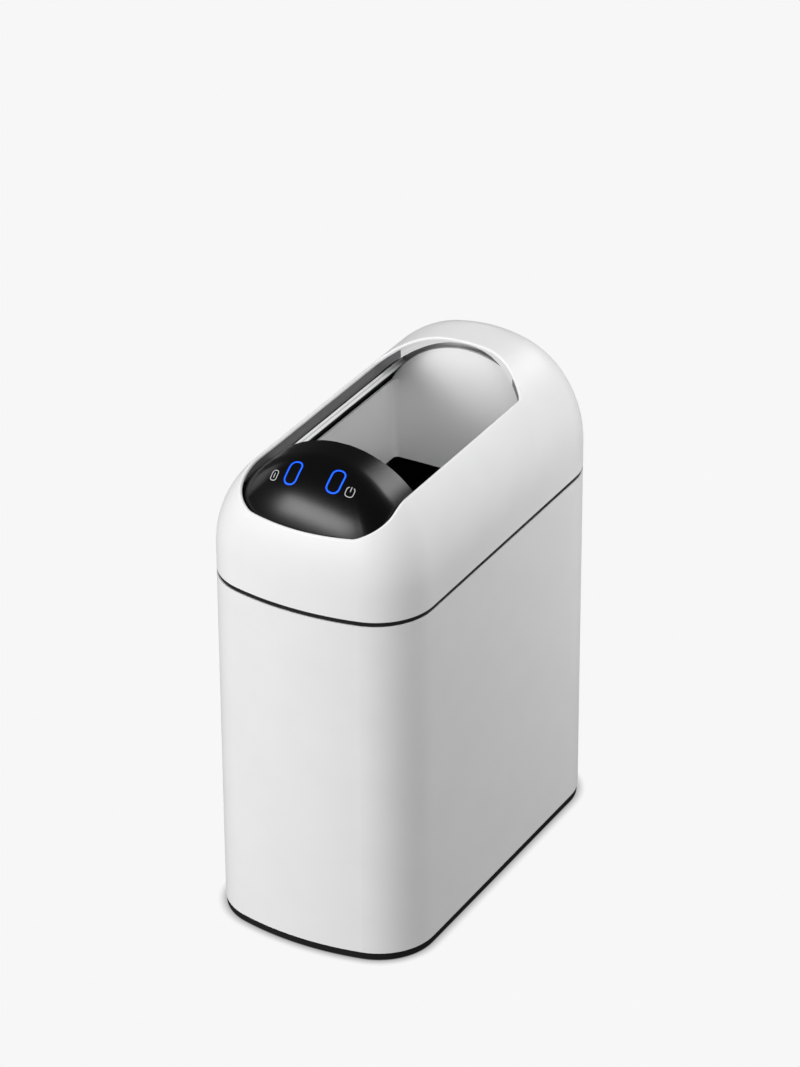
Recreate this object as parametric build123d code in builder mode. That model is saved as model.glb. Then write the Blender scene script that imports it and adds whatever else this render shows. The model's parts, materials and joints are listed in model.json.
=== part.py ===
"""Slim motion-sensor waste bin: steel sleeve, lift-off head and two powered half lids.

Millimetres. The origin is on the floor under the middle of the bin, +Z is up,
the control dome faces -Y and +X is to the right of someone facing the dome.
The half lids turn about one axis that runs along Y through the head, and they are
drawn with the bin open.
"""

import os
from math import acos, asin, atan2, cos, degrees, radians, sin, sqrt, tan

from build123d import *

# Gaps between pieces, and how far a cut runs past what it cuts
press_gap = 0.02
slip_gap = 0.05
screw_gap = 0.2
fit_gap = 0.3
overrun = 1.0

# Driving dimensions of the body
body_half_width = 90.0
body_half_depth = 168.0
corner_radius = 48.0
bow_radius = 228.0
base_height = 6.9
sleeve_top = 298.3
seam_top = 302.3
sleeve_wall = 1.2

# Head: an arched loaf on a short upright wall
spring_height = 322.0
crown_rise = 82.8
side_rounding = 72.3
front_rounding = 59.7
back_rounding = 36.7
crown_corner_share = 0.51
crown_bow_share = 1.51
shell_wall = 3.0
rib_overlap = 0.5

# Mouth of the head, seen from above
mouth_half_width = 63.2
mouth_front = -157.3
mouth_back = 100.0
mouth_front_corner = 28.0
mouth_front_bow = 170.0
mouth_back_corner = 12.0
mouth_back_bow = 82.0
lip_rounding = 1.5
trim_recess = 0.4
trim_wall = 2.6
trim_depth = 12.0
trim_lid_gap = 1.1
trim_dome_gap = 0.4
trim_front = -128.0
trim_back = 84.0

# Half lids about the long axis at spring height, angles for the right lid
lid_outer = 80.0
lid_wall = 2.6
lid_bead_inner = 75.4
lid_bead_angle = 2.6
lid_leading = 39.5
lid_trailing = -10.0
lid_clearance = 0.6
seal_middle = 77.8
seal_width = 1.0
seal_angle = 1.8
seal_sink_angle = 0.1
liner_wall = 0.7
liner_margin_angle = 0.5
liner_back = 104.0
liner_front = -92.0

# Drive train: module 1 gears in planes stacked along the lid axis
gear_module = 1.0
lid_teeth = 40
small_teeth = 16
small_offset = gear_module * small_teeth / 2
pin_radius = 3.0
axle_radius = 2.0
left_gear_back = -94.0
left_arm_back = -98.0
right_arm_back = -102.0
right_gear_back = -105.0
idler_back = -105.5
cross_gear_back = -110.0
bracket_back = -115.0
left_rear_arm_back = 108.0
right_rear_arm_back = 112.0
rear_bracket_back = 116.5
gear_face = 4.0
arm_thickness = 3.0
bracket_thickness = 3.0
rear_bracket_radius = 79.0
hub_radius = 9.0
arm_root = 7.0
arm_low = -8.0
arm_high = 17.0
gear_low = -6.0
gear_high = 102.0
gear_hub_radius = 13.0

# Control dome over the drive
dome_radius = 82.5
dome_wall = 1.9
dome_back = -90.0
dome_turn = -107.0
dome_nose = 57.7
dome_foot = 364.0
dome_corner_share = 0.45
dome_bow_share = 2.0
tray_thickness = 2.5

# Boards under the dome
board_height = 370.0
board_thickness = 1.6
board_width = 76.0
board_depth = 26.0
board_corner = 3.0
board_y = -130.0
post_radius = 2.5
post_inset = 4.0
digit_x = 20.0
digit_width = 18.0
digit_depth = 22.0
digit_height = 7.0
digit_corner = 1.0
sensor_radius = 4.5
sensor_height = 4.0
sensor_rounding = 1.5
main_board_x = 46.0
main_board_y = -126.0
main_board_length = 34.0
main_board_height = 38.0
chip_size = 9.0
chip_pitch = 16.0
chip_height = 3.0
chip_rise = 20.0

# Motor, its bracket and the lead from the battery
motor_radius = 12.0
motor_can_radius = 10.0
motor_length = 30.0
gearbox_length = 13.5
motor_stand = 0.2
motor_gap = 1.0
shaft_depth = 8.0
shaft_end_gap = 0.5
bracket_half_width = 24.0
bracket_foot = 2.5
bracket_foot_reach = 12.0
bracket_screw_x = 18.0
lead_radius = 1.4
lead_x = 69.0
lead_back = 126.0
lead_bend = 8.0

# Chute through the head
chute_half_width = 64.5
chute_wall = 2.0
chute_low = 287.0
chute_side_top = 356.0
chute_front = -90.5
chute_back = 101.0
chute_end_wall = 2.5
chute_end_skirt = 12.0
chute_corner = 4.0
chute_arch = 74.7
pin_socket = 1.5

# Floor of the head and what stands on it
floor_thickness = 4.0
floor_top = seam_top + floor_thickness
floor_gap = 0.1
lip_inset = 6.5
lip_wall = 2.0
lip_low = 292.0
boss_x = 76.0
boss_y = 118.0
boss_radius = 4.5
boss_height = 14.0
boss_rib = 3.0

# Screws: head radius, head height and shank radius
floor_screw = (2.8, 1.9, 1.5)
cover_screw = (1.9, 1.0, 1.0)
screw_end_gap = 1.0
cover_screw_end_gap = 0.5
battery_half_width = 39.0
battery_front = 117.0
battery_back = 148.0
battery_height = 30.0
battery_corner = 3.0
battery_rounding = 2.0
battery_gap = 0.5
cover_thickness = 2.0
cover_margin = 5.0
cover_end_margin = 2.0
cover_gap = 0.2

# Collar, bucket and base inside the sleeve
collar_inset = 1.0
collar_inner_inset = 6.0
collar_low = 282.0
collar_skirt_inset = 3.0
collar_web = 3.0
bucket_gap = 5.0
bucket_taper = 4.0
bucket_wall = 2.0
bucket_rim = 281.0
ring_overhang = 1.5
ring_flange = 2.0
ring_skirt = 6.0
ring_skirt_gap = 0.4
ring_skirt_wall = 1.8
base_inset = 0.7
base_floor = 3.0
base_rim_height = 10.0
base_rim_wall = 2.5
foot_height = 0.8
foot_outer_inset = 4.0
foot_inner_inset = 16.0

os.makedirs("parts", exist_ok=True)

# Share of the half width that the body's corner radius and bow radius have
corner_share = corner_radius / body_half_width
bow_share = bow_radius / body_half_width

# Places of the screws
bracket_front = bracket_back - bracket_thickness
battery_middle = (battery_front + battery_back) / 2
battery_depth = battery_back - battery_front
boss_places = [(x, y) for x in (-boss_x, boss_x) for y in (-boss_y, boss_y)]
bracket_screw_y = bracket_front - bracket_foot_reach / 2
bracket_screw_places = [(x, bracket_screw_y) for x in (-bracket_screw_x, bracket_screw_x)]
cover_screw_x = battery_half_width + cover_margin / 2
cover_screw_places = [(x, battery_middle) for x in (-cover_screw_x, cover_screw_x)]


# Outlines seen from above


def bowed_end(half_width, corner, bow):
    """Points of one bowed end with its apex at zero: side, corner middle, bow start."""
    centre_x = half_width - corner
    centre_y = sqrt((bow - corner) ** 2 - centre_x**2) - bow
    turn = atan2(centre_y + bow, centre_x)
    side = (half_width, centre_y)
    middle = (centre_x + corner * cos(turn / 2), centre_y + corner * sin(turn / 2))
    start = (bow * cos(turn), bow * sin(turn) - bow)
    return side, middle, start


def end_line(half_width, apex, corner, bow, facing):
    """Draw one bowed end at y = apex and give back its two side points."""
    right = [(x, apex + facing * y) for x, y in bowed_end(half_width, corner, bow)]
    left = [(-x, y) for x, y in right]
    ThreePointArc(*right)
    ThreePointArc(right[2], (0, apex), left[2])
    ThreePointArc(*left)
    return right[0], left[0]


def plan(half_width, front, back):
    """Face with straight sides and two bowed ends, each (apex, corner, bow)."""
    with BuildLine() as outline:
        back_right, back_left = end_line(half_width, *back, 1)
        front_right, front_left = end_line(half_width, *front, -1)
        Line(back_right, front_right)
        Line(back_left, front_left)
    make_face(outline.edges())


def body_plan(inset):
    """The body's outline from above, drawn in by inset."""
    corner = corner_radius - inset
    bow = bow_radius - inset
    apex = body_half_depth - inset
    plan(body_half_width - inset, (-apex, corner, bow), (apex, corner, bow))


def mouth_plan(outset):
    """The mouth's outline from above, drawn out by outset."""
    front = (mouth_front - outset, mouth_front_corner + outset, mouth_front_bow + outset)
    back = (mouth_back + outset, mouth_back_corner + outset, mouth_back_bow + outset)
    plan(mouth_half_width + outset, front, back)


# Solids drawn through stacked outlines


def body_prism(inset, low, high, mode=Mode.ADD):
    """Upright prism of the body's outline between two heights."""
    with BuildSketch(Plane.XY.offset(low)) as section:
        body_plan(inset)
    extrude(section.sketch, amount=high - low, mode=mode)


def loaf_plan(inset, angle):
    """Outline of the head where its arch has turned by angle from the upright wall."""
    turned = 1 - cos(radians(angle))
    half_width = body_half_width - inset - (side_rounding - inset) * turned
    front = -(body_half_depth - inset - (front_rounding - inset) * turned)
    back = body_half_depth - inset - (back_rounding - inset) * turned
    corner = half_width * (corner_share * (1 - turned) + crown_corner_share * turned)
    bow = half_width * (bow_share * (1 - turned) + crown_bow_share * turned)
    plan(half_width, (front, corner, bow), (back, corner, bow))


def loaf(inset, low, drop=0.0, mode=Mode.ADD):
    """The head's solid form drawn in by inset and let down by drop."""
    wall_steps = 3
    arch_steps = 12
    wall = spring_height - low
    sections = []
    for step in range(wall_steps):
        with BuildSketch(Plane.XY.offset(low + wall * step / wall_steps - drop)) as section:
            loaf_plan(inset, 0)
        sections.append(section.sketch.face())
    for step in range(arch_steps + 1):
        angle = 90 * step / arch_steps
        height = spring_height + (crown_rise - inset) * sin(radians(angle))
        with BuildSketch(Plane.XY.offset(height - drop)) as section:
            loaf_plan(inset, angle)
        sections.append(section.sketch.face())
    loft(sections, mode=mode)


def dome_plan(radius, nose, back, angle):
    """Outline of the dome where its arch has risen by angle above the lid axis."""
    half_width = radius * cos(radians(angle))
    apex = dome_turn - nose * cos(radians(angle))
    corner = half_width * dome_corner_share
    bow = half_width * dome_bow_share
    with BuildLine() as outline:
        right, left = end_line(half_width, apex, corner, bow, -1)
        Polyline(right, (half_width, back), (-half_width, back), left)
    make_face(outline.edges())


def dome(inset, low, back, mode=Mode.ADD):
    """The dome's solid form drawn in by inset, from height low to its crown."""
    steps = 12
    crown_angle = 86
    radius = dome_radius - inset
    first = degrees(asin((low - spring_height) / radius))
    sections = []
    for step in range(steps + 1):
        angle = first + (crown_angle - first) * step / steps
        height = spring_height + radius * sin(radians(angle))
        with BuildSketch(Plane.XY.offset(height)) as section:
            dome_plan(radius, dome_nose - inset, back, angle)
        sections.append(section.sketch.face())
    loft(sections, mode=mode)


# Shapes in planes square to the lid axis


def axis_plane(y):
    """Plane facing the front at y, centred on the lid axis, with its own y up."""
    return Plane(origin=(0, y, spring_height), x_dir=(1, 0, 0), z_dir=(0, -1, 0))


def sector(inner, outer, start, stop, mode=Mode.ADD):
    """Face between two radii and two angles, in degrees from +X towards +Z."""
    with BuildLine() as outline:
        outside = CenterArc((0, 0), outer, start, stop - start)
        inside = CenterArc((0, 0), inner, start, stop - start)
        Line(inside @ 0, outside @ 0)
        Line(inside @ 1, outside @ 1)
    make_face(outline.edges(), mode=mode)


def gear_outline(teeth, phase):
    """Involute gear outline with a tooth centred at the phase angle, in degrees."""
    pressure = radians(20)
    backlash = 0.4
    addendum = 0.8
    dedendum = 1.15
    pitch = gear_module * teeth / 2
    base = pitch * cos(pressure)
    root = pitch - dedendum * gear_module
    tip = pitch + addendum * gear_module
    half_tooth = radians(90 / teeth) - backlash / (2 * pitch)
    low = max(base, root)
    flank = [low + (tip - low) * share for share in (0, 0.35, 0.7, 1)]

    def half_angle(radius):
        roll = acos(base / radius)
        return half_tooth + (tan(pressure) - pressure) - (tan(roll) - roll)

    points = []
    for tooth in range(teeth):
        middle = radians(phase + 360 * tooth / teeth)
        sides = [(root, half_angle(base))] if root < base else []
        sides += [(radius, half_angle(radius)) for radius in flank]
        for radius, spread in sides:
            points.append((radius * cos(middle - spread), radius * sin(middle - spread)))
        for radius, spread in reversed(sides):
            points.append((radius * cos(middle + spread), radius * sin(middle + spread)))
    with BuildLine() as outline:
        Polyline(*points, close=True)
    make_face(outline.edges())


def mesh_phase(teeth, phase, other_teeth, direction):
    """Phase of a gear that meshes with another one, seen from it in that direction."""
    shift = (phase - direction) * teeth / other_teeth
    return direction + 180 + 180 / other_teeth - shift


def save(piece, name):
    """Label a finished piece and write its file."""
    piece.part.label = name
    export_step(piece.part, f"parts/{name}.step")


# Base and feet

base_rim_inset = sleeve_wall + fit_gap
base_rim_top = base_height + base_rim_height

with BuildPart() as base_tray:
    body_prism(base_inset, foot_height, base_height)
    body_prism(base_rim_inset, base_height, base_rim_top)
    body_prism(base_rim_inset + base_rim_wall, foot_height + base_floor, base_rim_top, Mode.SUBTRACT)
save(base_tray, "base_tray")

with BuildPart() as foot_ring:
    body_prism(foot_outer_inset, 0, foot_height)
    body_prism(foot_inner_inset, 0, foot_height, Mode.SUBTRACT)
save(foot_ring, "foot_ring")

# Steel sleeve and the dark collar that shows in the seam

with BuildPart() as body_sleeve:
    body_prism(0, base_height, sleeve_top)
    body_prism(sleeve_wall, base_height, sleeve_top, Mode.SUBTRACT)
save(body_sleeve, "body_sleeve")

with BuildPart() as top_collar:
    body_prism(sleeve_wall + slip_gap, collar_low, sleeve_top)
    body_prism(collar_inset, sleeve_top, seam_top - fit_gap)
    body_prism(collar_inner_inset, collar_low, seam_top, Mode.SUBTRACT)
    body_prism(collar_skirt_inset, collar_low, sleeve_top - collar_web, Mode.SUBTRACT)
save(top_collar, "top_collar")

# Lift-out bucket and the ring that clamps the bag over its rim

bucket_low = foot_height + base_floor
bucket_inset = sleeve_wall + fit_gap + bucket_gap

with BuildPart() as inner_bucket:
    with BuildSketch(Plane.XY.offset(bucket_low)):
        body_plan(bucket_inset + bucket_taper)
    with BuildSketch(Plane.XY.offset(bucket_rim)):
        body_plan(bucket_inset)
    loft()
    with BuildSketch(Plane.XY.offset(bucket_low + bucket_wall)):
        body_plan(bucket_inset + bucket_taper + bucket_wall)
    with BuildSketch(Plane.XY.offset(bucket_rim + overrun)):
        body_plan(bucket_inset + bucket_wall)
    loft(mode=Mode.SUBTRACT)
save(inner_bucket, "inner_bucket")

ring_skirt_inset = bucket_inset + bucket_wall + ring_skirt_gap
ring_low = bucket_rim - ring_skirt
ring_top = bucket_rim + ring_flange

with BuildPart() as bag_ring:
    body_prism(bucket_inset - ring_overhang, bucket_rim, ring_top)
    body_prism(ring_skirt_inset, ring_low, bucket_rim)
    body_prism(ring_skirt_inset + ring_skirt_wall, ring_low, ring_top, Mode.SUBTRACT)
save(bag_ring, "bag_ring")

# Skirt round the back of the mouth, which closes it down to the lids

with BuildPart() as lip_skirt:
    with BuildSketch(Plane.XY.offset(spring_height)):
        mouth_plan(trim_recess + trim_wall)
        with Locations((0, trim_back + slip_gap - body_half_depth)):
            Rectangle(2 * body_half_width, 2 * body_half_depth, mode=Mode.SUBTRACT)
    extrude(amount=2 * crown_rise)
    with BuildSketch(Plane.XY.offset(spring_height)):
        mouth_plan(trim_recess)
    extrude(amount=2 * crown_rise, mode=Mode.SUBTRACT)
    loaf(shell_wall - rib_overlap, seam_top, mode=Mode.INTERSECT)

# Arched head shell with its mouth and that skirt, screw bosses inside

upright_limit = 0.01

with BuildPart() as head_shell:
    loaf(0, seam_top)
    loaf(shell_wall, seam_top - overrun, mode=Mode.SUBTRACT)
    with BuildSketch(Plane.XY.offset(spring_height)):
        mouth_plan(0)
    extrude(amount=2 * crown_rise, mode=Mode.SUBTRACT)
    mouth_walls = head_shell.faces().filter_by(lambda face: abs(face.normal_at().Z) < upright_limit)
    mouth_walls = mouth_walls.filter_by(GeomType.BSPLINE, reverse=True)
    fillet([wall.edges().sort_by(Axis.Z)[-1] for wall in mouth_walls], lip_rounding)
    add(lip_skirt.part)
    with BuildSketch(axis_plane(right_rear_arm_back + overrun)):
        Circle(lid_outer + lid_clearance)
    extrude(amount=right_rear_arm_back - dome_back, mode=Mode.SUBTRACT)
    with BuildSketch(Plane.XY.offset(floor_top)):
        with Locations(*boss_places):
            Circle(boss_radius)
        rib_length = body_half_width - shell_wall - boss_x + rib_overlap
        with GridLocations(2 * boss_x + rib_length, 2 * boss_y, 2, 2):
            Rectangle(rib_length, boss_rib)
    extrude(amount=boss_height)
    with BuildSketch(Plane.XY.offset(floor_top)):
        with Locations(*boss_places):
            Circle(floor_screw[2] + press_gap)
    extrude(amount=boss_height - screw_end_gap, mode=Mode.SUBTRACT)
save(head_shell, "head_shell")

# Dark bands under the sides and rear corners of the lip, where the lids go in

for name, side in (("left", -1), ("right", 1)):
    with BuildPart() as rim_trim:
        with BuildSketch(Plane.XY.offset(spring_height)):
            mouth_plan(trim_recess + trim_wall)
            with Locations((side * body_half_width / 2, (trim_front + trim_back) / 2)):
                Rectangle(body_half_width, trim_back - trim_front, mode=Mode.INTERSECT)
        extrude(amount=2 * crown_rise)
        with BuildSketch(Plane.XY.offset(spring_height)):
            mouth_plan(trim_recess)
        extrude(amount=2 * crown_rise, mode=Mode.SUBTRACT)
        loaf(shell_wall + slip_gap, seam_top, mode=Mode.INTERSECT)
        loaf(shell_wall + slip_gap, seam_top, drop=trim_depth, mode=Mode.SUBTRACT)
        with BuildSketch(axis_plane(right_rear_arm_back)):
            Circle(lid_outer + trim_lid_gap)
        extrude(amount=right_rear_arm_back - dome_back, mode=Mode.SUBTRACT)
        dome(-trim_dome_gap, spring_height, dome_back, mode=Mode.SUBTRACT)
    save(rim_trim, f"{name}_rim_trim")

# Chute: two side walls and two end walls whose arched tops the lids pass over

chute_outer = chute_half_width + chute_wall
chute_middle = (chute_front + chute_back) / 2
chute_depth = chute_back - chute_front
chute_length = chute_depth + 2 * chute_end_wall
end_walls = (chute_front, chute_back + chute_end_wall)
front_socket_end = chute_front - chute_end_wall + pin_socket
rear_socket_end = chute_back + chute_end_wall - pin_socket

with BuildPart() as chute:
    with BuildSketch(Plane.XY.offset(chute_low)):
        with Locations((0, chute_middle)):
            Rectangle(2 * chute_outer, chute_length)
            RectangleRounded(2 * chute_half_width, chute_depth, chute_corner, mode=Mode.SUBTRACT)
    extrude(amount=chute_side_top - chute_low)
    for wall_back in end_walls:
        with BuildSketch(axis_plane(wall_back)):
            Circle(chute_arch)
            with Locations((0, -chute_arch / 2)):
                Rectangle(2 * chute_arch, chute_arch, mode=Mode.SUBTRACT)
            with Locations((0, -chute_end_skirt / 2)):
                Rectangle(2 * chute_outer, chute_end_skirt)
        extrude(amount=chute_end_wall)
    for socket_back in (front_socket_end, rear_socket_end + pin_socket):
        with BuildSketch(axis_plane(socket_back)):
            Circle(pin_radius + press_gap)
        extrude(amount=pin_socket, mode=Mode.SUBTRACT)
save(chute, "chute")

# Floor of the head with the lip that drops into the collar

with BuildPart() as head_floor:
    with BuildSketch(Plane.XY.offset(seam_top)):
        loaf_plan(shell_wall + floor_gap, 0)
        with Locations((0, chute_middle)):
            Rectangle(2 * (chute_outer + slip_gap), chute_length + 2 * slip_gap, mode=Mode.SUBTRACT)
        with Locations((0, battery_middle)):
            battery_well = (battery_half_width + battery_gap, battery_depth / 2 + battery_gap)
            Rectangle(2 * battery_well[0], 2 * battery_well[1], mode=Mode.SUBTRACT)
        with Locations(*boss_places):
            Circle(floor_screw[2] + screw_gap, mode=Mode.SUBTRACT)
        with Locations(*bracket_screw_places):
            Circle(floor_screw[2] + press_gap, mode=Mode.SUBTRACT)
        with Locations(*cover_screw_places):
            Circle(cover_screw[2] + press_gap, mode=Mode.SUBTRACT)
    extrude(amount=floor_thickness)
    body_prism(lip_inset, lip_low, seam_top)
    body_prism(lip_inset + lip_wall, lip_low, seam_top, Mode.SUBTRACT)
    with BuildSketch(Plane.XY.offset(seam_top)):
        with Locations((0, battery_middle)):
            Rectangle(2 * (battery_half_width + cover_margin), battery_depth + 2 * cover_end_margin)
    extrude(amount=cover_thickness, mode=Mode.SUBTRACT)
    with BuildSketch(Plane.XY.offset(seam_top)):
        with Locations(*boss_places):
            Circle(floor_screw[0] + screw_gap)
    extrude(amount=floor_screw[1], mode=Mode.SUBTRACT)
save(head_floor, "head_floor")

# Control dome, the tray it stands on and the boards

dome_foot_angle = degrees(asin((dome_foot - spring_height) / dome_radius))

with BuildPart() as dome_cover:
    dome(0, dome_foot, dome_back)
    dome(dome_wall, dome_foot - overrun, dome_back + overrun, mode=Mode.SUBTRACT)
save(dome_cover, "dome_cover")

drive_height = sqrt((gear_module * (lid_teeth + small_teeth) / 2) ** 2 - small_offset**2)
motor_x = -small_offset

with BuildPart() as dome_tray:
    with BuildSketch(Plane.XY.offset(dome_foot - tray_thickness)):
        dome_plan(dome_radius, dome_nose, dome_back, dome_foot_angle)
        offset(amount=-fit_gap)
        with Locations((0, bracket_back + body_half_depth / 2)):
            Rectangle(2 * body_half_width, body_half_depth, mode=Mode.SUBTRACT)
        with Locations((motor_x, bracket_front - motor_length / 2)):
            Rectangle(2 * (motor_radius + motor_gap), motor_length + 2 * motor_gap, mode=Mode.SUBTRACT)
    extrude(amount=tray_thickness)
    with BuildSketch(Plane.XY.offset(dome_foot)):
        with Locations((0, board_y)):
            with GridLocations(board_width - 2 * post_inset, board_depth - 2 * post_inset, 2, 2):
                Circle(post_radius)
    extrude(amount=board_height - dome_foot)
save(dome_tray, "dome_tray")

with BuildPart() as display_board:
    with BuildSketch(Plane.XY.offset(board_height)):
        with Locations((0, board_y)):
            RectangleRounded(board_width, board_depth, board_corner)
    extrude(amount=board_thickness)
save(display_board, "display_board")

board_top = board_height + board_thickness

with BuildPart() as digit_modules:
    with BuildSketch(Plane.XY.offset(board_top)):
        with Locations((-digit_x, board_y), (digit_x, board_y)):
            RectangleRounded(digit_width, digit_depth, digit_corner)
    extrude(amount=digit_height)
save(digit_modules, "digit_modules")

with BuildPart() as motion_sensor:
    with BuildSketch(Plane.XY.offset(board_top)):
        with Locations((0, board_y)):
            Circle(sensor_radius)
    extrude(amount=sensor_height)
    fillet(motion_sensor.faces().sort_by(Axis.Z)[-1].edges(), sensor_rounding)
save(motion_sensor, "motion_sensor")

main_board_face = main_board_x + board_thickness / 2

with BuildPart() as main_board:
    with BuildSketch(Plane.XY.offset(floor_top)):
        with Locations((main_board_x, main_board_y)):
            Rectangle(board_thickness, main_board_length)
    extrude(amount=main_board_height)
    with BuildSketch(Plane.YZ.offset(main_board_face)):
        with Locations((main_board_y, floor_top + chip_rise)):
            with GridLocations(chip_pitch, chip_pitch, 2, 2):
                Rectangle(chip_size, chip_size)
    extrude(amount=chip_height)
save(main_board, "main_board")

# Drive: bracket, pins, motor, gears

gear_places = {"pinion": (-small_offset, drive_height), "idler": (small_offset, drive_height)}
pinion_direction = degrees(atan2(drive_height, -small_offset))
left_phase = pinion_direction
pinion_phase = mesh_phase(lid_teeth, left_phase, small_teeth, pinion_direction)
idler_phase = mesh_phase(small_teeth, pinion_phase, small_teeth, 0)
right_phase = mesh_phase(small_teeth, idler_phase, lid_teeth, 360 - pinion_direction)

bracket_top = dome_foot - tray_thickness

with BuildPart() as drive_bracket:
    with BuildSketch(axis_plane(bracket_back)):
        with Locations((0, (bracket_top + floor_top) / 2 - spring_height)):
            Rectangle(2 * bracket_half_width, bracket_top - floor_top)
        Circle(pin_radius + press_gap, mode=Mode.SUBTRACT)
        with Locations(gear_places["pinion"]):
            Circle(axle_radius + slip_gap, mode=Mode.SUBTRACT)
        with Locations(gear_places["idler"]):
            Circle(axle_radius + press_gap, mode=Mode.SUBTRACT)
    extrude(amount=bracket_thickness)
    with BuildSketch(Plane.XY.offset(floor_top)):
        with Locations((0, bracket_front - bracket_foot_reach / 2)):
            Rectangle(2 * bracket_half_width, bracket_foot_reach)
        with Locations(*bracket_screw_places):
            Circle(floor_screw[2] + floor_gap, mode=Mode.SUBTRACT)
    extrude(amount=bracket_foot)
save(drive_bracket, "drive_bracket")

with BuildPart() as rear_bracket:
    with BuildSketch(axis_plane(rear_bracket_back)):
        sector(axle_radius, rear_bracket_radius, 0, 180)
        with Locations((0, (floor_top - spring_height) / 2)):
            Rectangle(2 * chute_outer, spring_height - floor_top)
        Circle(pin_radius + press_gap, mode=Mode.SUBTRACT)
    extrude(amount=bracket_thickness)
save(rear_bracket, "rear_bracket")


def axis_rod(radius, back, front, place=(0, 0)):
    """Round rod along Y between two y values, placed square to the lid axis."""
    with BuildSketch(axis_plane(back)) as section:
        with Locations(place):
            Circle(radius)
    extrude(section.sketch, amount=back - front)


with BuildPart() as front_pin:
    axis_rod(pin_radius, front_socket_end, bracket_front)
save(front_pin, "front_pin")

with BuildPart() as rear_pin:
    axis_rod(pin_radius, rear_bracket_back, rear_socket_end)
save(rear_pin, "rear_pin")

with BuildPart() as idler_axle:
    axis_rod(axle_radius, idler_back, bracket_front, gear_places["idler"])
save(idler_axle, "idler_axle")

motor_face = bracket_front - motor_stand
gearbox_front = motor_face - gearbox_length

with BuildPart() as gear_motor:
    axis_rod(motor_radius, motor_face, gearbox_front, gear_places["pinion"])
    axis_rod(motor_can_radius, gearbox_front, motor_face - motor_length, gear_places["pinion"])
    with BuildSketch(axis_plane(motor_face)):
        with Locations(gear_places["pinion"]):
            Circle(axle_radius + slip_gap)
    extrude(amount=shaft_depth + shaft_end_gap, mode=Mode.SUBTRACT)
save(gear_motor, "gear_motor")


def small_gear(phase, back, face, place):
    """Small gear whose back face is at y = back, centred at a place in the axis plane."""
    with BuildSketch(axis_plane(back)) as section:
        gear_outline(small_teeth, phase)
    extrude(section.sketch.moved(Location((place[0], 0, place[1]))), amount=face)


# The left arm sweeps past the pinion's front face
pinion_face = gear_face - fit_gap

with BuildPart() as motor_pinion:
    small_gear(pinion_phase, left_gear_back, pinion_face, gear_places["pinion"])
    small_gear(pinion_phase, cross_gear_back, gear_face, gear_places["pinion"])
    axis_rod(axle_radius, left_gear_back, motor_face - shaft_depth, gear_places["pinion"])
save(motor_pinion, "motor_pinion")

idler_face = idler_back - cross_gear_back + gear_face

with BuildPart() as idler_gear:
    small_gear(idler_phase, idler_back, idler_face, gear_places["idler"])
    with BuildSketch(axis_plane(idler_back)):
        with Locations(gear_places["idler"]):
            Circle(axle_radius + slip_gap)
    extrude(amount=idler_face, mode=Mode.SUBTRACT)
save(idler_gear, "idler_gear")

# Half lids, each with a seal in its leading edge, a dark liner inside, two arms and a gear


def lid_sector(side, inner, outer, start, stop, mode=Mode.ADD):
    """Sector given by the right lid's angles, mirrored for the left lid."""
    if side < 0:
        start, stop = 180 - stop, 180 - start
    sector(inner, outer, start, stop, mode=mode)


lids = {
    "left": (-1, left_arm_back, left_rear_arm_back, left_gear_back, left_phase),
    "right": (1, right_arm_back, right_rear_arm_back, right_gear_back, right_phase),
}
seal_inner = seal_middle - seal_width / 2
seal_outer = seal_middle + seal_width / 2
seal_start = lid_leading - seal_angle
seal_stop = lid_leading - seal_sink_angle
liner_outer = lid_outer - lid_wall - slip_gap
liner_low = lid_trailing + liner_margin_angle
liner_high = lid_leading - lid_bead_angle - liner_margin_angle

for name, (side, arm_back, rear_arm_back, gear_back, phase) in lids.items():
    lid_length = rear_arm_back - arm_back + arm_thickness

    with BuildPart() as lid:
        with BuildSketch(axis_plane(rear_arm_back)):
            lid_sector(side, lid_outer - lid_wall, lid_outer, lid_trailing, lid_leading)
            lid_sector(side, lid_bead_inner, lid_outer, lid_leading - lid_bead_angle, lid_leading)
            lid_sector(side, seal_inner, seal_outer, seal_start, lid_leading + overrun, Mode.SUBTRACT)
        extrude(amount=lid_length)
    save(lid, f"{name}_lid")

    with BuildPart() as lid_seal:
        with BuildSketch(axis_plane(rear_arm_back)):
            lid_sector(side, seal_inner + press_gap, seal_outer - press_gap, seal_start, seal_stop)
        extrude(amount=lid_length)
    save(lid_seal, f"{name}_lid_seal")

    with BuildPart() as lid_liner:
        with BuildSketch(axis_plane(liner_back)):
            lid_sector(side, liner_outer - liner_wall, liner_outer, liner_low, liner_high)
        extrude(amount=liner_back - liner_front)
    save(lid_liner, f"{name}_lid_liner")

    for end, back in (("front", arm_back), ("rear", rear_arm_back)):
        with BuildPart() as lid_arm:
            with BuildSketch(axis_plane(back)):
                lid_sector(side, arm_root, lid_outer - lid_wall - slip_gap, arm_low, arm_high)
                Circle(hub_radius)
                Circle(pin_radius + slip_gap, mode=Mode.SUBTRACT)
            extrude(amount=arm_thickness)
        save(lid_arm, f"{name}_{end}_arm")

    with BuildPart() as lid_gear:
        with BuildSketch(axis_plane(gear_back)):
            gear_outline(lid_teeth, phase)
            lid_sector(side, axle_radius, lid_outer, gear_low, gear_high, Mode.INTERSECT)
            Circle(gear_hub_radius)
            Circle(pin_radius + slip_gap, mode=Mode.SUBTRACT)
        extrude(amount=gear_face)
    save(lid_gear, f"{name}_lid_gear")

# Battery, its cover and the lead to the front

with BuildPart() as battery_pack:
    with BuildSketch(Plane.XY.offset(seam_top + cover_thickness)):
        with Locations((0, battery_middle)):
            RectangleRounded(2 * battery_half_width, battery_depth, battery_corner)
    extrude(amount=battery_height)
    fillet(battery_pack.faces().sort_by(Axis.Z)[-1].edges(), battery_rounding)
save(battery_pack, "battery_pack")

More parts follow.
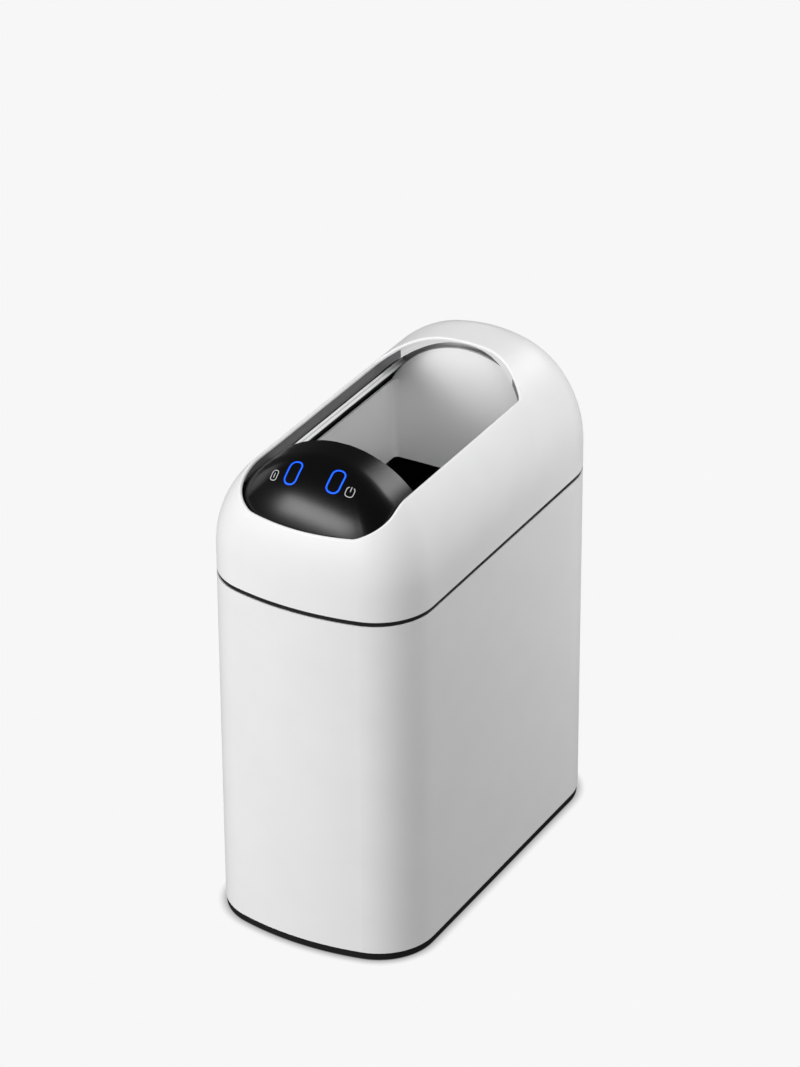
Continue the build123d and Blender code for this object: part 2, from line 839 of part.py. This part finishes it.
with BuildPart() as battery_cover:
    with BuildSketch(Plane.XY.offset(seam_top)):
        with Locations((0, battery_middle)):
            cover_half = (battery_half_width + cover_margin, battery_depth / 2 + cover_end_margin)
            Rectangle(2 * (cover_half[0] - cover_gap), 2 * (cover_half[1] - cover_gap))
        with Locations(*cover_screw_places):
            Circle(cover_screw[2] + floor_gap, mode=Mode.SUBTRACT)
    extrude(amount=cover_thickness)
    with BuildSketch(Plane.XY.offset(seam_top)):
        with Locations(*cover_screw_places):
            Circle(cover_screw[0] + floor_gap)
    extrude(amount=cover_screw[1], mode=Mode.SUBTRACT)
save(battery_cover, "battery_cover")

lead_z = floor_top + lead_radius + slip_gap
lead_route = [
    (battery_half_width, lead_back, lead_z),
    (lead_x, lead_back, lead_z),
    (lead_x, main_board_y, lead_z),
    (main_board_face, main_board_y, lead_z),
]

with BuildPart() as wiring_lead:
    with BuildLine() as lead_path:
        FilletPolyline(*lead_route, radius=lead_bend)
    with BuildSketch(Plane(origin=lead_route[0], z_dir=(1, 0, 0))):
        Circle(lead_radius)
    sweep(path=lead_path.wire())
save(wiring_lead, "wiring_lead")

# Screws that hold the floor to the shell, the bracket to the floor and the battery cover


def screw(place, head_z, length, size, pointing):
    """Screw along Z whose outer head face is at head_z, pointing up (1) or down (-1)."""
    head_radius, head_height, shank_radius = size
    lower = Plane(origin=(*place, head_z), z_dir=(0, 0, pointing))
    with BuildSketch(lower) as head:
        Circle(head_radius)
    extrude(head.sketch, amount=head_height)
    with BuildSketch(lower) as socket:
        RegularPolygon(head_radius / 2, 6)
    extrude(socket.sketch, amount=head_height / 2, mode=Mode.SUBTRACT)
    with BuildSketch(lower.offset(head_height)) as shank:
        Circle(shank_radius)
    extrude(shank.sketch, amount=length)


with BuildPart() as head_screws:
    for place in boss_places:
        screw(place, seam_top, boss_height, floor_screw, 1)
save(head_screws, "head_screws")

with BuildPart() as bracket_screws:
    for place in bracket_screw_places:
        head_z = floor_top + bracket_foot + floor_screw[1]
        screw(place, head_z, bracket_foot + floor_thickness - screw_end_gap, floor_screw, -1)
save(bracket_screws, "bracket_screws")

with BuildPart() as cover_screws:
    for place in cover_screw_places:
        length = floor_thickness - cover_screw[1] - cover_screw_end_gap
        screw(place, seam_top, length, cover_screw, 1)
save(cover_screws, "cover_screws")
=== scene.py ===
"""Looks of a slim motion-sensor waste bin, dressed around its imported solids.

Metres. The origin is on the floor under the middle of the bin, +Z is up, the control
dome faces -Y and +X is to the right of someone facing the dome.
"""

import json
from math import cos, pi, radians, sin

import bmesh
import bpy
from mathutils import Matrix, Vector
from mathutils.bvhtree import BVHTree


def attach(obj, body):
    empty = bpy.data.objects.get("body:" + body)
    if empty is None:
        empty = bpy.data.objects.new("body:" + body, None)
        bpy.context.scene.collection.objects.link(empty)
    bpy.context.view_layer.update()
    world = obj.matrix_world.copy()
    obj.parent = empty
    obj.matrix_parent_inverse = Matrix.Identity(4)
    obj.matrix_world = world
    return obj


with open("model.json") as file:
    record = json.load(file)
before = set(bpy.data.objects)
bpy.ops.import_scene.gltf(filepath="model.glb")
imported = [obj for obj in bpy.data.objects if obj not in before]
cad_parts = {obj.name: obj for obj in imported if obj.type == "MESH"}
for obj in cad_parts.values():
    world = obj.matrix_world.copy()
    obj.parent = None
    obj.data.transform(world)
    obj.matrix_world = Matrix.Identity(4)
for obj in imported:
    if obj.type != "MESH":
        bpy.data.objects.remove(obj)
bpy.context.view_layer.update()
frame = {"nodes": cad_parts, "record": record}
nodes = frame["nodes"]
scene = bpy.context.scene
MM = 0.001

# Camera: where it stands, found by lining up the bin's edges with the photograph
PHOTO_HEIGHT = 1067
FOCAL_PIXELS = 4467.55
SENSOR = 36.0
CAMERA_PLACE = Vector((1.4860, -2.6175, 1.9743))
CAMERA_BACK = Vector((0.43113, -0.75776, 0.48982))
CAMERA_RIGHT = Vector((0.86917, 0.49451, 0.0))
CAMERA_ROLL = 0.00583
CAMERA_REACH = 50.0

# Noise that every finish is made from: its range, the size of its clouds, and what it does to the surface
NOISE_LOW = 0.3
NOISE_HIGH = 0.7
CLOUD_SCALE = 30.0
CLOUD_DETAIL = 3.0
GRAIN_DETAIL = 2.0
ROUGHNESS_SPREAD = 0.08
BUMP_STRENGTH = 0.35

# Finishes: colour, how far it varies, roughness, grains per metre and grain depth in metres,
# with the metallic value of bare metal last
FINISHES = {
    "white_steel": ((0.83, 0.83, 0.83), 0.012, 0.42, 2600.0, 0.00002),
    "white_plastic": ((0.84, 0.84, 0.84), 0.012, 0.42, 3200.0, 0.00002),
    "chute_white": ((0.95, 0.95, 0.95), 0.01, 0.36, 3200.0, 0.00001),
    # trim_grey is painted shade: a dark grey band under the lip of the mouth that stands in for the shaded
    # recess there
    "trim_grey": ((0.16, 0.16, 0.165), 0.05, 0.38, 2600.0, 0.00003),
    "black_gloss": ((0.002, 0.002, 0.0022), 0.05, 0.26, 4000.0, 0.000001),
    "black_plastic": ((0.012, 0.012, 0.013), 0.1, 0.5, 2600.0, 0.00005),
    "frame_plastic": ((0.55, 0.55, 0.54), 0.03, 0.5, 2600.0, 0.00004),
    "gear_plastic": ((0.8, 0.78, 0.7), 0.03, 0.42, 2600.0, 0.00003),
    "rubber_black": ((0.015, 0.015, 0.015), 0.12, 0.7, 1800.0, 0.00006),
    "rubber_grey": ((0.58, 0.58, 0.59), 0.04, 0.65, 1800.0, 0.00005),
    "steel": ((0.6, 0.6, 0.6), 0.05, 0.3, 3000.0, 0.00002, 1.0),
    "board_green": ((0.015, 0.12, 0.05), 0.12, 0.4, 1200.0, 0.00004),
    "battery_wrap": ((0.05, 0.09, 0.2), 0.08, 0.35, 900.0, 0.00004),
}
DISPLAY_COLOUR = (0.006, 0.1, 1.0)
DISPLAY_GLOW = 0.75
ICON_COLOUR = (0.42, 0.42, 0.43)
ICON_GLOW = 0.55

# Backdrop tone, contact shadow and light from all round
BACKDROP_TONE = 0.93
FLOOR_SIZE = 40.0
CONTACT_REACH = 0.008
WORLD_STRENGTH = 0.45
WORLD_GLOSS_STRENGTH = 0.06

# Lit marks on the dome, in millimetres: places from above and sizes along the surface
DIGIT_PLACES = {"left_digit": (-18.8, -132.0), "right_digit": (16.9, -130.5)}
DIGIT_HALF_WIDTH = 5.1
DIGIT_HALF_HEIGHT = 9.6
DIGIT_CORNER = 4.6
DIGIT_STROKE = 1.2
ICON_STROKE = 0.5
BATTERY_PLACE = (-33.8, -133.9)
BATTERY_HALF_WIDTH = 2.7
BATTERY_HALF_HEIGHT = 4.1
BATTERY_CORNER = 2.0
POWER_PLACE = (30.2, -132.8)
POWER_HALF_WIDTH = 3.2
POWER_HALF_HEIGHT = 3.9
POWER_CORNER = 2.5
POWER_HALF_GAP = 1.6
POWER_BAR = (0.2, 4.4)
MARK_LIFT = 0.1
MARK_SINK = 0.15
MARK_SPACING = 0.35
SAME_POINT = 1e-6
CORNER_STEPS = 12

# Heights above the dome, in millimetres, from which places and strokes are dropped onto it
PLACE_DROP = 1000.0
STROKE_DROP = 10.0

# How far the lamps stand from what they point at, in metres
LAMP_DISTANCE = 2.5
NEAR_DISTANCE = 0.5
BIN_MIDDLE = (0, 0, 0.25)
MOUTH_MIDDLE = (0.0, 0.05, 0.38)


def make_camera():
    """Camera at the photograph's viewing angle."""
    up = CAMERA_BACK.cross(CAMERA_RIGHT)
    right = (CAMERA_RIGHT - CAMERA_ROLL * up).normalized()
    up = CAMERA_BACK.cross(right)
    data = bpy.data.cameras.new("camera")
    data.sensor_width = SENSOR
    data.lens = FOCAL_PIXELS / PHOTO_HEIGHT * SENSOR
    data.clip_end = CAMERA_REACH
    camera = bpy.data.objects.new("camera", data)
    turn = Matrix((right, up, CAMERA_BACK)).transposed().to_4x4()
    camera.matrix_world = Matrix.Translation(CAMERA_PLACE) @ turn
    scene.collection.objects.link(camera)
    scene.camera = camera


make_camera()


# Materials


def new_material(name):
    """Node material with its own principled shader."""
    material = bpy.data.materials.new(name)
    material.use_nodes = True
    shader = material.node_tree.nodes["Principled BSDF"]
    return material, material.node_tree.nodes, material.node_tree.links, shader


def noise(tree_nodes, links, scale, detail):
    """Noise over the object's own coordinates, in metres."""
    coordinates = tree_nodes.new("ShaderNodeTexCoord")
    texture = tree_nodes.new("ShaderNodeTexNoise")
    texture.inputs["Scale"].default_value = scale
    texture.inputs["Detail"].default_value = detail
    links.new(coordinates.outputs["Object"], texture.inputs["Vector"])
    return texture.outputs["Fac"]


def ramp(tree_nodes, links, factor, low, high):
    """Colour that runs from low to high over the middle of a noise."""
    node = tree_nodes.new("ShaderNodeValToRGB")
    node.color_ramp.elements[0].position = NOISE_LOW
    node.color_ramp.elements[1].position = NOISE_HIGH
    node.color_ramp.elements[0].color = (*low, 1)
    node.color_ramp.elements[1].color = (*high, 1)
    links.new(factor, node.inputs["Fac"])
    return node.outputs["Color"]


def spread(tree_nodes, links, factor, low, high):
    """Number that runs from low to high over the middle of a noise."""
    node = tree_nodes.new("ShaderNodeMapRange")
    node.inputs["From Min"].default_value = NOISE_LOW
    node.inputs["From Max"].default_value = NOISE_HIGH
    node.inputs["To Min"].default_value = low
    node.inputs["To Max"].default_value = high
    links.new(factor, node.inputs["Value"])
    return node.outputs["Result"]


def grained(name, colour, variation, roughness, grain_scale, grain_depth, metallic=0.0):
    """Moulded or coated finish: faint cloudy tone, uneven roughness and a fine grain."""
    material, tree_nodes, links, shader = new_material(name)
    cloud = noise(tree_nodes, links, CLOUD_SCALE, CLOUD_DETAIL)
    low = [max(0.0, c * (1 - variation)) for c in colour]
    high = [min(1.0, c * (1 + variation)) for c in colour]
    links.new(ramp(tree_nodes, links, cloud, low, high), shader.inputs["Base Color"])
    grain = noise(tree_nodes, links, grain_scale, GRAIN_DETAIL)
    smoothest, roughest = roughness * (1 - ROUGHNESS_SPREAD), roughness * (1 + ROUGHNESS_SPREAD)
    rough = spread(tree_nodes, links, grain, smoothest, roughest)
    links.new(rough, shader.inputs["Roughness"])
    bump = tree_nodes.new("ShaderNodeBump")
    bump.inputs["Strength"].default_value = BUMP_STRENGTH
    bump.inputs["Distance"].default_value = grain_depth
    links.new(grain, bump.inputs["Height"])
    links.new(bump.outputs["Normal"], shader.inputs["Normal"])
    shader.inputs["Metallic"].default_value = metallic
    return material


def lit(name, colour, strength):
    """Clear cover over a lamp: a faint cloudy tone with an even glow."""
    material = grained(name, colour, variation=0.1, roughness=0.3, grain_scale=1200.0, grain_depth=0.00001)
    shader = material.node_tree.nodes["Principled BSDF"]
    shader.inputs["Emission Color"].default_value = (*colour, 1)
    shader.inputs["Emission Strength"].default_value = strength
    return material


looks = {name: grained(name, *finish) for name, finish in FINISHES.items()}
looks["display_blue"] = lit("display_blue", DISPLAY_COLOUR, DISPLAY_GLOW)
looks["icon_grey"] = lit("icon_grey", ICON_COLOUR, ICON_GLOW)

for part in frame["record"]["subparts"]:
    node = nodes[part["node"]]
    node.data.materials.clear()
    node.data.materials.append(looks[part["material_slot"]])
nodes["chute"].data.materials[0] = looks["chute_white"]
nodes["digit_modules"].data.materials[0] = looks["black_plastic"]


# Marks on the dome: thin strokes laid on its curved surface


def dome_frame(tree, place):
    """Point of the dome below a place, with the tangents to the right and up, and the normal."""
    above = Vector((*place, PLACE_DROP)) * MM
    point, normal, *_ = tree.ray_cast(above, Vector((0, 0, -1)))
    right = (Vector((1, 0, 0)) - normal * normal.x).normalized()
    return point, right, normal.cross(right), normal


def rounded_box(half_width, half_height, corner):
    """Points round a box with round corners."""
    points = []
    for quarter, (side, rise) in enumerate(((1, 1), (-1, 1), (-1, -1), (1, -1))):
        for step in range(CORNER_STEPS + 1):
            turn = (quarter + step / CORNER_STEPS) * pi / 2
            x = side * (half_width - corner) + corner * cos(turn)
            y = rise * (half_height - corner) + corner * sin(turn)
            points.append((x, y))
    return evenly(points, closed=True)


def evenly(points, closed):
    """The same line with points at an even spacing."""
    line = [Vector(point) for point in points]
    if closed:
        line.append(line[0])
    spaced = []
    for start, stop in zip(line, line[1:]):
        length = (stop - start).length
        count = max(1, round(length / MARK_SPACING))
        if length > SAME_POINT:
            spaced += [start.lerp(stop, step / count) for step in range(count)]
    return spaced if closed else spaced + [line[-1]]


def opened(points, half_gap):
    """The closed line cut open at its top, within half_gap of its middle."""
    kept = [point.y < 0 or abs(point.x) > half_gap for point in points]
    start = max(index for index, keep in enumerate(kept) if not keep) + 1
    turned = list(zip(points, kept))
    return [point for point, keep in turned[start:] + turned[:start] if keep]


def add_stroke(shape, tree, place, points, width, closed):
    """Add one stroke of even width along flat points, wrapped onto the dome."""
    centre, right, up, normal = dome_frame(tree, place)
    line = [Vector(point) for point in points]
    last = len(line) - 1
    rings = []
    for index, point in enumerate(line):
        before = line[index - 1] if index or closed else point
        after = line[(index + 1) % len(line)] if index < last or closed else point
        along = (after - before).normalized()
        across = Vector((-along.y, along.x)) * width / 2
        ring = []
        for side, lift in ((1, -MARK_SINK), (1, MARK_LIFT), (-1, MARK_LIFT), (-1, -MARK_SINK)):
            flat = point + across * side
            start = centre + (right * flat.x + up * flat.y + normal * STROKE_DROP) * MM
            hit, face_normal, *_ = tree.ray_cast(start, -normal)
            ring.append(shape.verts.new(hit + face_normal * lift * MM))
        rings.append(ring)
    pairs = list(zip(rings, rings[1:])) + ([(rings[-1], rings[0])] if closed else [])
    for ring, following in pairs:
        for corner in range(4):
            other = (corner + 1) % 4
            shape.faces.new((ring[corner], following[corner], following[other], ring[other]))
    if not closed:
        shape.faces.new(rings[0])
        shape.faces.new(reversed(rings[-1]))


def make_mark(name, tree, place, strokes, look):
    """One piece made of strokes, each (points, width, closed), that moves with the head."""
    shape = bmesh.new()
    for points, width, closed in strokes:
        add_stroke(shape, tree, place, points, width, closed)
    bmesh.ops.recalc_face_normals(shape, faces=shape.faces)
    mesh = bpy.data.meshes.new(name)
    shape.to_mesh(mesh)
    shape.free()
    mesh.materials.append(look)
    mark = bpy.data.objects.new(name, mesh)
    scene.collection.objects.link(mark)
    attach(mark, "head")


def make_marks():
    """Two lit digits, a battery sign and a power sign."""
    shape = bmesh.new()
    shape.from_mesh(nodes["dome_cover"].data)
    tree = BVHTree.FromBMesh(shape)
    digit = rounded_box(DIGIT_HALF_WIDTH, DIGIT_HALF_HEIGHT, DIGIT_CORNER)
    for name, place in DIGIT_PLACES.items():
        make_mark(name, tree, place, [(digit, DIGIT_STROKE, True)], looks["display_blue"])
    case = rounded_box(BATTERY_HALF_WIDTH, BATTERY_HALF_HEIGHT, BATTERY_CORNER)
    bar = BATTERY_HALF_HEIGHT - BATTERY_CORNER
    core = evenly([(0, -bar), (0, bar)], closed=False)
    battery = [(case, ICON_STROKE, True), (core, ICON_STROKE, False)]
    make_mark("battery_sign", tree, BATTERY_PLACE, battery, looks["icon_grey"])
    ring = opened(rounded_box(POWER_HALF_WIDTH, POWER_HALF_HEIGHT, POWER_CORNER), POWER_HALF_GAP)
    tick = evenly([(0, y) for y in POWER_BAR], closed=False)
    power = [(ring, ICON_STROKE, False), (tick, ICON_STROKE, False)]
    make_mark("power_sign", tree, POWER_PLACE, power, looks["icon_grey"])
    shape.free()


make_marks()


# Stage


def make_floor():
    """Even pale floor with a painted contact shadow around what stands on it."""
    mesh = bpy.data.meshes.new("floor")
    shape = bmesh.new()
    bmesh.ops.create_grid(shape, x_segments=1, y_segments=1, size=FLOOR_SIZE / 2)
    shape.to_mesh(mesh)
    shape.free()
    floor = bpy.data.objects.new("floor", mesh)
    scene.collection.objects.link(floor)
    material, tree_nodes, links, shader = new_material("floor")
    tree_nodes.remove(shader)
    # Painted shadow: the floor's glow is darkened where other things stand close to it
    contact_shadow = tree_nodes.new("ShaderNodeAmbientOcclusion")
    contact_shadow.inputs["Distance"].default_value = CONTACT_REACH
    glow = tree_nodes.new("ShaderNodeEmission")
    glow.inputs["Strength"].default_value = BACKDROP_TONE
    links.new(contact_shadow.outputs["Color"], glow.inputs["Color"])
    links.new(glow.outputs["Emission"], tree_nodes["Material Output"].inputs["Surface"])
    mesh.materials.append(material)
    floor.visible_diffuse = False
    floor.visible_glossy = False
    floor.visible_shadow = False


def make_world():
    """Even soft light from all round."""
    world = bpy.data.worlds.new("studio")
    world.use_nodes = True
    tree_nodes, links = world.node_tree.nodes, world.node_tree.links
    background = tree_nodes["Background"]
    background.inputs["Color"].default_value = (1, 1, 1, 1)
    path = tree_nodes.new("ShaderNodeLightPath")
    strength = tree_nodes.new("ShaderNodeMapRange")
    strength.inputs["To Min"].default_value = WORLD_STRENGTH
    strength.inputs["To Max"].default_value = WORLD_GLOSS_STRENGTH
    links.new(path.outputs["Is Glossy Ray"], strength.inputs["Value"])
    links.new(strength.outputs["Result"], background.inputs["Strength"])
    scene.world = world


def softbox(
    name, lights, azimuth, elevation, width, height, power, distance=LAMP_DISTANCE, aim=BIN_MIDDLE
):
    """Rectangular lamp for surfaces or reflections, azimuth 0 in front of the bin and 90 on its right."""
    turn, lift = radians(azimuth), radians(elevation)
    away = Vector((sin(turn) * cos(lift), -cos(turn) * cos(lift), sin(lift)))
    data = bpy.data.lights.new(name, "AREA")
    data.shape = "RECTANGLE"
    data.size = width
    data.size_y = height
    data.energy = power
    lamp = bpy.data.objects.new(name, data)
    lamp.location = Vector(aim) + away * distance
    lamp.rotation_mode = "QUATERNION"
    lamp.rotation_quaternion = away.to_track_quat("Z", "Y")
    lamp.visible_camera = False
    lamp.visible_glossy = lights == "reflections"
    lamp.visible_diffuse = lights == "surfaces"
    scene.collection.objects.link(lamp)


make_floor()
make_world()
softbox("key", "surfaces", azimuth=-28, elevation=14, width=1.4, height=1.0, power=37.0)
softbox("top", "surfaces", azimuth=45, elevation=78, width=1.6, height=1.6, power=8.0)
softbox(
    "side", "surfaces", azimuth=143, elevation=6, width=0.25, height=0.5, power=0.75,
    distance=NEAR_DISTANCE,
)
softbox(
    "rim", "surfaces", azimuth=65, elevation=62, width=0.3, height=0.3, power=0.9,
    distance=NEAR_DISTANCE, aim=MOUTH_MIDDLE,
)
softbox("front_shine", "reflections", azimuth=-20, elevation=29, width=2.1, height=0.75, power=36.0)
softbox("left_shine", "reflections", azimuth=-96, elevation=20, width=1.4, height=0.8, power=3.2)
softbox("rear_shine", "reflections", azimuth=163, elevation=35, width=1.1, height=0.65, power=12.5)
scene.view_settings.view_transform = "Standard"
scene.view_settings.look = "None"
